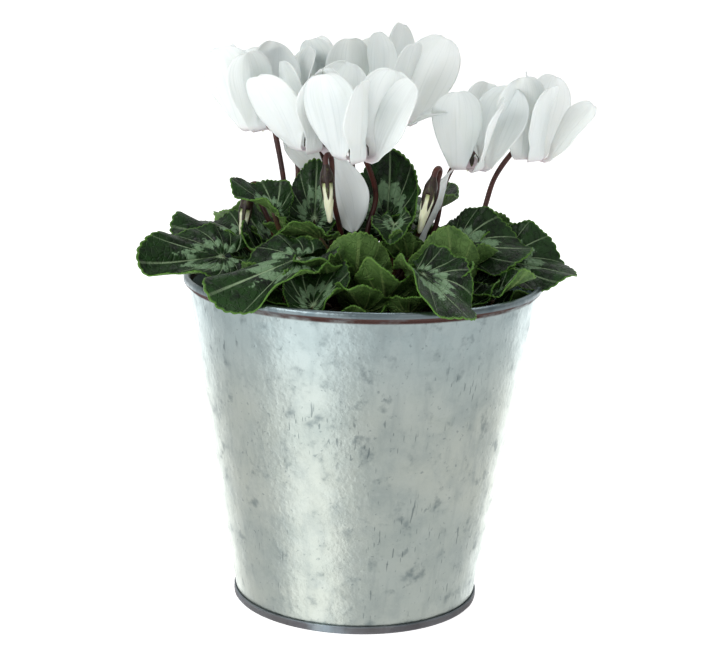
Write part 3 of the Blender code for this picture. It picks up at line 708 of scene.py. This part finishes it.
flower = {"thickness": 0.42, "tubeRadius": 3.4, "tubeHeight": 4.6, "lobes": 5, "cup": 0.32,
          "rows": 46, "columns": 23, "ruffle": 0.85, "widest": 0.69, "fuller": 1.12,
          "longer": 1.07, "stemClearance": 62, "stemRadius": 1.1, "stemSides": 20,
          "calyx": (2.5, 3.4, 2.8), "sepals": (5.2, (2.5, 3.95, 4.2), 1.25)}
bud = {"radius": 2.6, "calyx": (2.75, 8.5, 2.3), "sepals": (10.5, (2.35, 2.75, 2.1), 1.0),
       "rows": 60, "around": 60, "turns": 0.55, "rings": 12}
upright = (80, 38, 20, 52, 14)
hidden = (82, 37, 20, 56, 12)

# Mouth, lean of the tube's axis, first lobe, side where the stem hooks over, the stem's way,
# and for each lobe its angle above level, length, width, twist and outward curl.
flowerHeads = {
    "flower_1": (
        (-43.4, 5, 199), (180, 4), 210, 318, ((-33, -2.4, 156), (-34, -2, 178)),
        (upright, (82, 35, 19, 48, 12), (-42, 31, 17, 62, 4), hidden, hidden),
    ),
    "flower_2": (
        (-21.5, -11, 193.1), (270, 4), 200, 92, ((-12, 7, 156), (-15, 9, 178)),
        ((66, 37, 23, 34, 14), (82, 36, 18, 58, 14), (-64, 35, 17, 66, 20), hidden, hidden),
    ),
    "flower_3": (
        (-3.6, -28.5, 192.2), (270, 6), 200, 92, ((1, -10, 158), (4, -10, 176)),
        (hidden, (80, 37, 18, 60, 14), (72, 37, 19, 48, 16), hidden, hidden),
    ),
    "flower_4": (
        (10.4, 14, 202.5), (0, 10), 322, 214, ((6, 12, 165), (5, 11, 186)),
        ((36, 28, 22, 24, 14), (78, 41, 21, 40, 8), (84, 42, 20, 44, 10), hidden, hidden),
    ),
    "flower_5": (
        (-9, 38, 200), (90, 3), 200, 92, ((-4, 39, 166), (-7, 45, 184)),
        ((78, 37, 20, 30, 10), (84, 37, 20, 30, 8), (82, 38, 20, 30, 10), hidden, hidden),
    ),
    "flower_6": (
        (-35, 30, 195.7), (120, 4), 250, 70, ((-27, 31, 162), (-30, 36, 180)),
        (hidden, hidden, hidden, hidden, hidden),
    ),
    "flower_7": (
        (41.8, 0, 185.6), (0, 3), 232, 128, ((28, 3, 156), (32, 4, 176)),
        ((84, 34, 19, 42, 8), (74, 34, 20, 50, 16), (80, 37, 20, 48, 14), hidden,
         (-64, 36, 11, 50, 26)),
    ),
    "flower_8": (
        (69, 16, 188.2), (0, 5), 208, 172, ((44, 6, 154), (54, 13, 180)),
        (hidden, (80, 35, 20, 52, 14), (62, 32, 15, 34, 6), hidden, hidden),
    ),
}

# Calyx top, furled tip, side where the stem hooks over, the stem's way.
flowerBuds = {
    "bud_1": ((-48, -4, 175), (-51, -5, 154), 30, ((-33, 0, 147), (-40, -2, 162))),
    "bud_2": ((-16.5, -24, 190), (-14, -25, 165), 60, ((-9, -13, 156), (-13, -19, 174))),
    "bud_3": ((27.5, -19, 185.5), (22, -20, 161), 60, ((21, -7, 156), (28, -13, 174))),
}


# White petal: thin, satin, lit through; fine lengthwise veins and a blush near the mouth.
def petalMaterial(name, white, vein, blush, green):
    material, tree, out = newMaterial(name)
    share, sums, tint = shaderSteps(tree)
    side, along, number = split(tree, stored(tree, "petalPlace"))
    lines = joined(tree, sums("MULTIPLY", side, 13.0), sums("MULTIPLY", along, 1.3), number)
    soft = joined(tree, sums("MULTIPLY", side, 1.6), sums("MULTIPLY", along, 2.2), number)
    veins = noise(tree, lines, 1.0, 3.0)
    cloud = noise(tree, soft, 1.0, 2.0)
    colour = tint(share(veins, 0.50, 0.72, 0.40), linearColour(white), linearColour(vein))
    colour = tint(share(cloud, 0.5, 0.75, 0.25), colour, linearColour(green))
    colour = tint(sums("SUBTRACT", 1.0, share(along, 0.02, 0.20)), colour, linearColour(blush))
    surface(tree, out, {"Base Color": colour, "Roughness": 0.52, "IOR": 1.40,
                        "Subsurface Weight": 0.55, "Subsurface Scale": 0.0020,
                        "Subsurface Radius": (1.0, 0.9, 0.8), "Sheen Weight": 0.08,
                        "Normal": relief(tree, veins, 0.30, 0.0004)})
    return material


whitePetal = petalMaterial("whiteSatinPetal", "#e6edeb", "#d2dbd9", "#dfccd3", "#dee7dc")
furledPetal = petalMaterial("furledCreamPetal", "#eef0d2", "#cfd8a4", "#b9c48a", "#e2e8bd")


# The mouth's centre, and two level directions with the tube's axis.
def flowerFrame(spec):
    axis = direction(spec[1][0], 90 - spec[1][1])
    back = np.cross(axis, (1, 0, 0))
    back /= np.linalg.norm(back)
    return np.array(spec[0], float), np.stack([np.cross(back, axis), back, axis])


# A lobe's azimuth, moved clear of the stem that passes beside it.
def clearOfStem(azimuth, hook):
    off = (azimuth - hook + 180) % 360 - 180
    return azimuth + np.copysign(max(0.0, flower["stemClearance"] - abs(off)), off)


# A lobe from its share of the length and its side, -1 to 1. Width: a narrow claw, widest past
# the middle, then a rounded tip. The midline leaves the mouth a little below level, turns back
# over the tube and then curls outwards evenly; the blade turns about it, cups and ruffles.
def lobeSheet(share, side, first, azimuth, spec, seed):
    lean, length, width, twist, curl = spec
    length, width = length * flower["longer"], width * flower["fuller"]
    draw = np.random.default_rng(seed)
    start = -25.0 if lean > 0 else -15.0
    steps = np.linspace(0, 1, 121)
    slope = np.radians(start + (lean - start) * smoothstep(steps, 0, 0.17)
                       - curl * np.maximum(steps - 0.17, 0))
    radius = flower["tubeRadius"]
    out = radius + np.concatenate([[0], np.cumsum(np.cos(slope[:-1]))]) * length / 120
    rise = np.concatenate([[0], np.cumsum(np.sin(slope[:-1]))]) * length / 120
    r, z, s = (np.interp(share, steps, v) for v in (out, rise, slope))
    a = np.radians(first + (azimuth - first) * np.clip(share / 0.12, 0, 1))
    radial = np.stack([np.cos(a), np.sin(a), 0 * a], -1)
    roundIt = np.stack([-np.sin(a), np.cos(a), 0 * a], -1)
    up = np.array([0.0, 0.0, 1.0])
    inward = -np.sin(s)[..., None] * radial + np.cos(s)[..., None] * up
    turn = (np.radians(twist) * np.clip(share / 0.30, 0, 1))[..., None]
    across = np.cos(turn) * roundIt + np.sin(turn) * inward
    face = np.cos(turn) * inward - np.sin(turn) * roundIt
    widest = 0.60 if lean < 0 else flower["widest"]
    claw = 0.27 + 0.73 * np.sin(0.5 * np.pi * np.minimum(share / widest, 1.0)) ** 1.9
    past = np.maximum(share - widest, 0) / (1.005 - widest)
    point = 1.5 if lean < 0 else 2.2
    tip = np.maximum(1 - past**point, 0) ** (0.72 if lean < 0 else 0.5)
    tip = tip * (1 + 0.10 * smoothstep(share, 0.93, 1.0))
    half = 0.5 * width * claw * tip
    w = half * side * (1 + 0.03 * np.sin(9 * share + 3 * side + draw.uniform(0, 6)))
    lift = flower["cup"] * w * w / width
    phase = draw.uniform(0, 6, 3)
    lift = lift + flower["ruffle"] * side**2 * np.sin(8 * share + 2.2 * side + phase[0]) \
        * smoothstep(share, 0.2, 0.6)
    lift = lift + 0.30 * np.sin(5 * side + 2.5 * share + phase[1]) * smoothstep(share, 0.15, 0.5)
    lift = lift - 0.45 * np.exp(-((side / 0.12) ** 2)) * smoothstep(share, 0.1, 0.3) \
        * (1 - smoothstep(share, 0.7, 1.0))
    body = radial * r[..., None] + up * z[..., None]
    blade = body + across * w[..., None] + face * lift[..., None]
    ring = np.radians(first) + side * np.pi / flower["lobes"]
    mouth = np.stack([radius * np.cos(ring), radius * np.sin(ring), 0 * ring], -1)
    blend = np.clip(share / 0.10, 0, 1)[..., None]
    return mouth * (1 - blend) + blade * blend


# The fused tube and its five lobes as one sheet. Tube: rings from its closed top to the mouth.
def corollaSheet(spec, seed):
    nose, frame = flowerFrame(spec)
    lobes, columns, rows = flower["lobes"], flower["columns"], flower["rows"]
    around = lobes * (columns - 1)
    radius, height = flower["tubeRadius"], flower["tubeHeight"]
    turn = np.radians(spec[2] - 36 + np.arange(around) * 360 / around)
    tube = [(0.02, height), (0.4 * radius, height - 0.02), (0.8 * radius, height - 0.1),
            (0.97 * radius, height - 0.8), (1.04 * radius, 0.55 * height),
            (1.02 * radius, 0.22 * height), (radius, 0.0)]
    r, z = np.array(tube).T[:, :, None]
    rings = np.stack([r * np.cos(turn), r * np.sin(turn), z + 0 * turn], -1).reshape(-1, 3)
    faces = gridQuads(len(tube), around, 0, True)[:, ::-1].tolist()
    faces.append(np.arange(around).tolist())
    low = (len(tube) - 1) * around
    shares = np.concatenate([[0.02, 0.05, 0.09], np.linspace(0.13, 1.0, rows - 3) ** 0.96])
    shares[-1] = 0.998
    share, side = np.meshgrid(shares, np.linspace(-1, 1, columns), indexing="ij")
    points, place = [rings], [np.stack([0 * rings[:, 0], 0 * rings[:, 0], 0 * rings[:, 0]], 1)]
    start = len(rings)
    for k, lobe in enumerate(spec[5]):
        first = spec[2] + 72 * k
        azimuth = clearOfStem(first, spec[3])
        points.append(lobeSheet(share, side, first, azimuth, lobe, seed * 10 + k).reshape(-1, 3))
        width = side * (0.3 + 0.7 * np.sin(0.5 * np.pi * np.minimum(share / 0.6, 1)))
        place.append(np.stack([width, share, 0 * share + 3.7 * k + 19.1 * seed], -1)
                     .reshape(-1, 3))
        column = np.arange(columns - 1)
        ring = low + (k * (columns - 1) + np.arange(columns)) % around
        faces += np.stack([ring[:-1], start + column, start + column + 1, ring[1:]], 1).tolist()
        faces += gridQuads(rows, columns, start)[:, [0, 3, 2, 1]].tolist()
        start += rows * columns
    return nose + np.concatenate(points) @ frame, faces, np.concatenate(place)


# A hooked stem: up from the crown, over a half circle and down into the calyx, which swells.
def hookedStem(foot, way, top, hang, hook, calyx):
    swell, length, bend = calyx
    side = direction(hook, 0)
    side = side - hang * side.dot(hang)
    side /= np.linalg.norm(side)
    neck = top + hang * length
    turn = np.linspace(0, np.pi, 25)[:, None]
    arc = neck + side * bend * (1 + np.cos(turn)) + hang * bend * np.sin(turn)
    rise = through([foot - (0, 0, 1.2), *way, arc[0] - hang * 3.0, arc[0]], 16)
    drop = neck + (top - neck) * np.linspace(0, 1, 15)[1:, None]
    line = np.concatenate([rise[:-1], arc, drop])
    share = np.linspace(0, 1, 15)[1:]
    cone = flower["stemRadius"] + (swell - flower["stemRadius"]) * smoothstep(share, 0.05, 0.7)
    cone = cone * (1 - 0.10 * smoothstep(share, 0.8, 1.0))
    radii = np.concatenate([np.full(len(line) - 14, flower["stemRadius"]), cone])
    radii = radii * (1 + 0.035 * bumpy(line, 12, int(abs(foot[0] * 10)) + 5))
    return line, radii


# Sepals: five pointed leaves under the calyx, each a lens-shaped rod that follows the corolla.
def sepals(top, hang, reach, radii, width, seed):
    level = np.cross(hang, (0.2, 0.9, 0.1))
    level /= np.linalg.norm(level)
    other = np.cross(hang, level)
    share = np.linspace(0, 1, 14)
    allPoints, allFaces, start = [], [], 0
    for k in range(5):
        a = np.radians(72 * k + 17 * seed)
        out = level * np.cos(a) + other * np.sin(a)
        wide = np.cross(hang, out)
        r = np.interp(share, (0, 0.35, 1), radii)
        line = top + hang * 1.0 - hang * (reach * share)[:, None] + out * r[:, None]
        half = width * np.clip(1 - share**1.8, 0.004, 1) ** 0.75 * (0.75 + 0.6 * share)
        turn = np.linspace(0, 2 * np.pi, 12, endpoint=False)
        ring = (wide * np.cos(turn)[:, None])[None] * half[:, None, None] \
            + (out * np.sin(turn)[:, None])[None] * (0.16 + 0.12 * half)[:, None, None]
        points = (line[:, None] + ring).reshape(-1, 3)
        quads = gridQuads(14, 12, start, True)
        ends = [np.arange(12)[::-1] + start, np.arange(12) + start + 13 * 12]
        allPoints.append(points)
        allFaces += quads.tolist() + [e.tolist() for e in ends]
        start += len(points)
    return np.concatenate(allPoints), allFaces


# The style and the cone of anthers that just show in the mouth.
def flowerHeart(name, nose, frame):
    axis = frame[2]
    line = nose + axis * np.linspace(3.6, -1.5, 16)[:, None]
    radii = np.interp(np.linspace(0, 1, 16), (0, 0.8, 0.95, 1), (0.5, 0.42, 0.5, 0.2))
    points, faces = rod(line, radii, 12)
    allPoints, allFaces, start = [points], list(faces), len(points)
    for k in range(5):
        a = np.radians(72 * k + 20)
        out = frame[0] * np.cos(a) + frame[1] * np.sin(a)
        share = np.linspace(0, 1, 12)[:, None]
        line = nose + out * (1.7 - 0.9 * share) + axis * (3.4 - 3.0 * share)
        more, quads = rod(line, 0.75 * np.sin(np.pi * np.linspace(0.12, 0.97, 12)), 10, start)
        allPoints.append(more)
        allFaces += quads
        start += len(more)
    addPiece("heart" + name[6:], np.concatenate(allPoints), allFaces, np.zeros(len(allFaces)),
             [furledPetal], [], {"petalPlace": np.full((start, 3), 0.6)})


# A stem and its sepals as one piece; the calyx also takes the stem's last rings.
def stemPiece(name, node, path, top, hang, shape, rings, seed):
    points, faces = rod(*path, flower["stemSides"])
    more, quads = sepals(top, hang, *shape, seed)
    slots = np.zeros(len(faces) + len(quads), int)
    slots[-(len(quads) + rings * flower["stemSides"]):] = 1
    faces += [[i + len(points) for i in face] for face in quads]
    addPiece(name, np.concatenate([points, more]), faces, slots, [stemSkin, calyxSkin],
             node + "_stem")


def cyclamenFlower(name, spec, foot, seed):
    nose, frame = flowerFrame(spec)
    points, faces, place = corollaSheet(spec, seed)
    petals = addPiece("petals" + name[6:], points, faces, np.zeros(len(faces)), [whitePetal],
                      name + "_petals", {"petalPlace": place})
    thicken(petals, flower["thickness"])
    top = nose + frame[2] * (flower["tubeHeight"] + 0.7)
    way = [np.array(p, float) for p in spec[4]]
    path = hookedStem(foot, way, top, frame[2], spec[3], flower["calyx"])
    stemPiece("stem" + name[6:], name, path, top, frame[2], flower["sepals"], 0, seed)
    flowerHeart(name, nose, frame)


# A furled bud: five petals wound round each other, radius = a taper x a ridge on each petal.
def cyclamenBud(name, spec, foot, seed):
    top, tip, hook, way = spec
    top, tip = np.array(top, float), np.array(tip, float)
    hang = (top - tip) / np.linalg.norm(top - tip)
    length = bud["calyx"][1]
    way = [np.array(p, float) for p in way]
    path = hookedStem(foot, way, top - hang * length, hang, hook, bud["calyx"])
    stemPiece("stem_" + name, name, path, top - hang * (length - 2.5), hang, bud["sepals"],
              bud["rings"] + 2, seed)
    upper = top - hang * (length + 0.2)
    share = np.linspace(0, 1, bud["rows"])
    line = upper - hang * (np.linalg.norm(upper - tip) * share)[:, None]
    taper = bud["radius"] * np.interp(share, (0, 0.12, 0.3, 0.6, 0.85, 0.96, 1),
                                      (0.80, 0.92, 0.86, 0.64, 0.46, 0.32, 0.06))
    turn = np.linspace(0, 2 * np.pi, bud["around"], endpoint=False)
    wind = 5 * (turn[None] - 2 * np.pi * bud["turns"] * share[:, None])
    ridge = 1 + 0.13 * (np.abs(np.sin(0.5 * wind)) - 0.6) * smoothstep(share, 0.05, 0.2)[:, None]
    points, faces = rod(line, taper[:, None] * ridge, bud["around"])
    place = np.stack([np.tile(turn / np.pi - 1, bud["rows"]),
                      np.repeat(share, bud["around"]), np.full(len(points) - 2, 5.3 * seed)], 1)
    place = np.concatenate([place, [[0, 0.01, 0], [0, 1, 0]]])
    addPiece("furl_" + name, points, faces, np.zeros(len(faces)), [furledPetal],
             name + "_petals", {"petalPlace": place})


# Young leaves that fill the middle of the plant: a spiral of small blades, each lower than
# the ones round it, with its stalk standing on the crown.
innerLeaves = {"count": 40, "nearest": 9, "furthest": 57, "low": 130, "high": 153,
               "turn": 137.5, "first": 20, "footAway": 12, "footHigh": 122.5, "stray": 35,
               "tilt": (5, 48), "roll": 25, "length": (15, 22), "bend": (-20, 10),
               "seed": 40, "grid": (181, 12)}


def innerLeafSpec(spec, index, azimuth, draw):
    share = (index + 0.5) / spec["count"]
    spot = direction(azimuth, 0) * (spec["nearest"]
                                    + (spec["furthest"] - spec["nearest"]) * share**0.6)
    rise = spec["high"] - (spec["high"] - spec["low"]) * share
    height = rise + draw.uniform(-4, 4) + 4 * (spot[1] > 0)
    return ((spot[0], spot[1], height), azimuth + draw.uniform(-spec["stray"], spec["stray"]),
            draw.uniform(*spec["tilt"]), draw.uniform(-spec["roll"], spec["roll"]),
            draw.uniform(*spec["length"]), 1.0, 12, 16, draw.uniform(*spec["bend"]), 0.07)


places = {name: spec[0] for name, spec in leafBlades.items()}
places.update({name: spec[4][0] for name, spec in flowerHeads.items()})
places.update({name: spec[3][0] for name, spec in flowerBuds.items()})
feet = crownFeet(places)
for index, (name, spec) in enumerate(leafBlades.items()):
    cyclamenLeaf(name, spec, feet[name], index + 1, leaf["grid"])
draw = np.random.default_rng(innerLeaves["seed"])
for index in range(innerLeaves["count"]):
    azimuth = innerLeaves["turn"] * index + innerLeaves["first"]
    spec = innerLeafSpec(innerLeaves, index, azimuth, draw)
    foot = direction(azimuth, 0) * innerLeaves["footAway"] + (0, 0, innerLeaves["footHigh"])
    cyclamenLeaf(f"leaf_inner{index + 1:02d}", spec, foot, index + 60, innerLeaves["grid"])
for index, (name, spec) in enumerate(flowerHeads.items()):
    cyclamenFlower(name, spec, feet[name], index + 1)
for index, (name, spec) in enumerate(flowerBuds.items()):
    cyclamenBud(name, spec, feet[name], index + 1)

print("stage: floor, lights and camera")

studio = {"floor": 8.0, "room": 0.27, "behind": 0.80, "tableFront": 0.75, "tableBehind": 2.1,
          "strip": 0.75, "stripAzimuth": 231, "keyAzimuth": 231, "keyAway": 0.95,
          "keyHigh": 0.60, "keySize": 0.55, "keyPower": 4.8, "fillAzimuth": 300,
          "fillAway": 1.3, "fillHigh": 0.8, "fillSize": 1.1, "fillPower": 2.0,
          "topAzimuth": 60, "topAway": 0.35, "topHigh": 1.15, "topSize": 0.8, "topPower": 3.6,
          "aim": 0.12, "paperGlow": 0.85, "lens": 93.0, "eye": (0, -0.7680, 0.29265),
          "tilt": 77.113, "turn": 1.643}


# A plain matt surface that can glow a little.
def plainMaterial(name, colour, rough, glow=0.0):
    material, tree, out = newMaterial(name)
    surface(tree, out, {"Base Color": linearColour(colour), "Roughness": rough,
                        "Emission Color": linearColour(colour), "Emission Strength": glow})
    return material


def stageSheet(name, corners, material):
    mesh = bpy.data.meshes.new(name)
    mesh.from_pydata(corners, [], [(0, 1, 2, 3)])
    mesh.materials.append(material)
    sheet = bpy.data.objects.new(name, mesh)
    bpy.context.scene.collection.objects.link(sheet)
    return sheet


half = studio["floor"] / 2
corners = [(-half, -half, 0), (half, -half, 0), (half, half, 0), (-half, half, 0)]
# Matt white paper under the pot.
paper = stageSheet("paperFloor", corners,
                   plainMaterial("mattWhitePaper", "#f7f7f7", 0.9, studio["paperGlow"]))

# White backdrop: seen as white all round. It lights the object from behind, the room in front
# and above is dim, and a bright table edge with one window strip shows only in the metal.
paper.visible_glossy = False
world = bpy.data.worlds.new("whiteStudio")
world.use_nodes = True
tree = world.node_tree
share, sums, _ = shaderSteps(tree)
heading = addNode(tree, "ShaderNodeTexCoord", {}, {}).outputs["Generated"]
_, depth, height = split(tree, heading)
above = sums("ADD", share(depth, 0.05, 0.55, studio["behind"] - studio["room"]), studio["room"])
window = addNode(tree, "ShaderNodeVectorMath", {"operation": "DOT_PRODUCT"},
                 {0: heading, 1: tuple(direction(studio["stripAzimuth"], 0))}).outputs["Value"]
level = sums("POWER", sums("SUBTRACT", 1.0, sums("MULTIPLY", height, height)), 0.5)
window = share(sums("DIVIDE", window, level), 0.86, 0.955, studio["strip"])
table = share(depth, 0.48, 0.86, studio["tableBehind"] - studio["tableFront"])
below = sums("ADD", sums("ADD", table, studio["tableFront"]), window)
lower = sums("SUBTRACT", 1.0, share(height, -0.06, 0.04))
light = sums("ADD", above, sums("MULTIPLY", lower, sums("SUBTRACT", below, above)))
seen = addNode(tree, "ShaderNodeLightPath", {}, {}).outputs["Is Camera Ray"]
sky = tree.nodes["Background"]
sky.inputs["Color"].default_value = (1.0, 1.0, 1.0, 1.0)
tree.links.new(sums("MAXIMUM", light, seen), sky.inputs["Strength"])
bpy.context.scene.world = world


def softLamp(name, azimuth, away, high, size, power):
    lamp = bpy.data.lights.new(name, "AREA")
    lamp.shape = "SQUARE"
    lamp.size = size
    lamp.energy = power
    stand = bpy.data.objects.new(name, lamp)
    bpy.context.scene.collection.objects.link(stand)
    spot = direction(azimuth, 0) * away
    stand.location = (spot[0], spot[1], high)
    aim = Vector((0, 0, studio["aim"])) - stand.location
    stand.rotation_euler = aim.to_track_quat("-Z", "Y").to_euler()
    stand.visible_camera = False


for name in ("key", "fill", "top"):
    softLamp(name + "Softbox", *(studio[name + part] for part in
                                 ("Azimuth", "Away", "High", "Size", "Power")))

camera = bpy.data.cameras.new("camera")
camera.lens = studio["lens"]
camera.sensor_width = 36.0
camera.clip_start = 0.01
eye = bpy.data.objects.new("camera", camera)
bpy.context.scene.collection.objects.link(eye)
turn = (Matrix.Rotation(np.radians(studio["tilt"]), 4, "X")
        @ Matrix.Rotation(np.radians(studio["turn"]), 4, "Z"))
eye.matrix_world = Matrix.Translation(studio["eye"]) @ turn
bpy.context.scene.camera = eye
bpy.context.scene.view_settings.view_transform = "Standard"

print("stage: done")
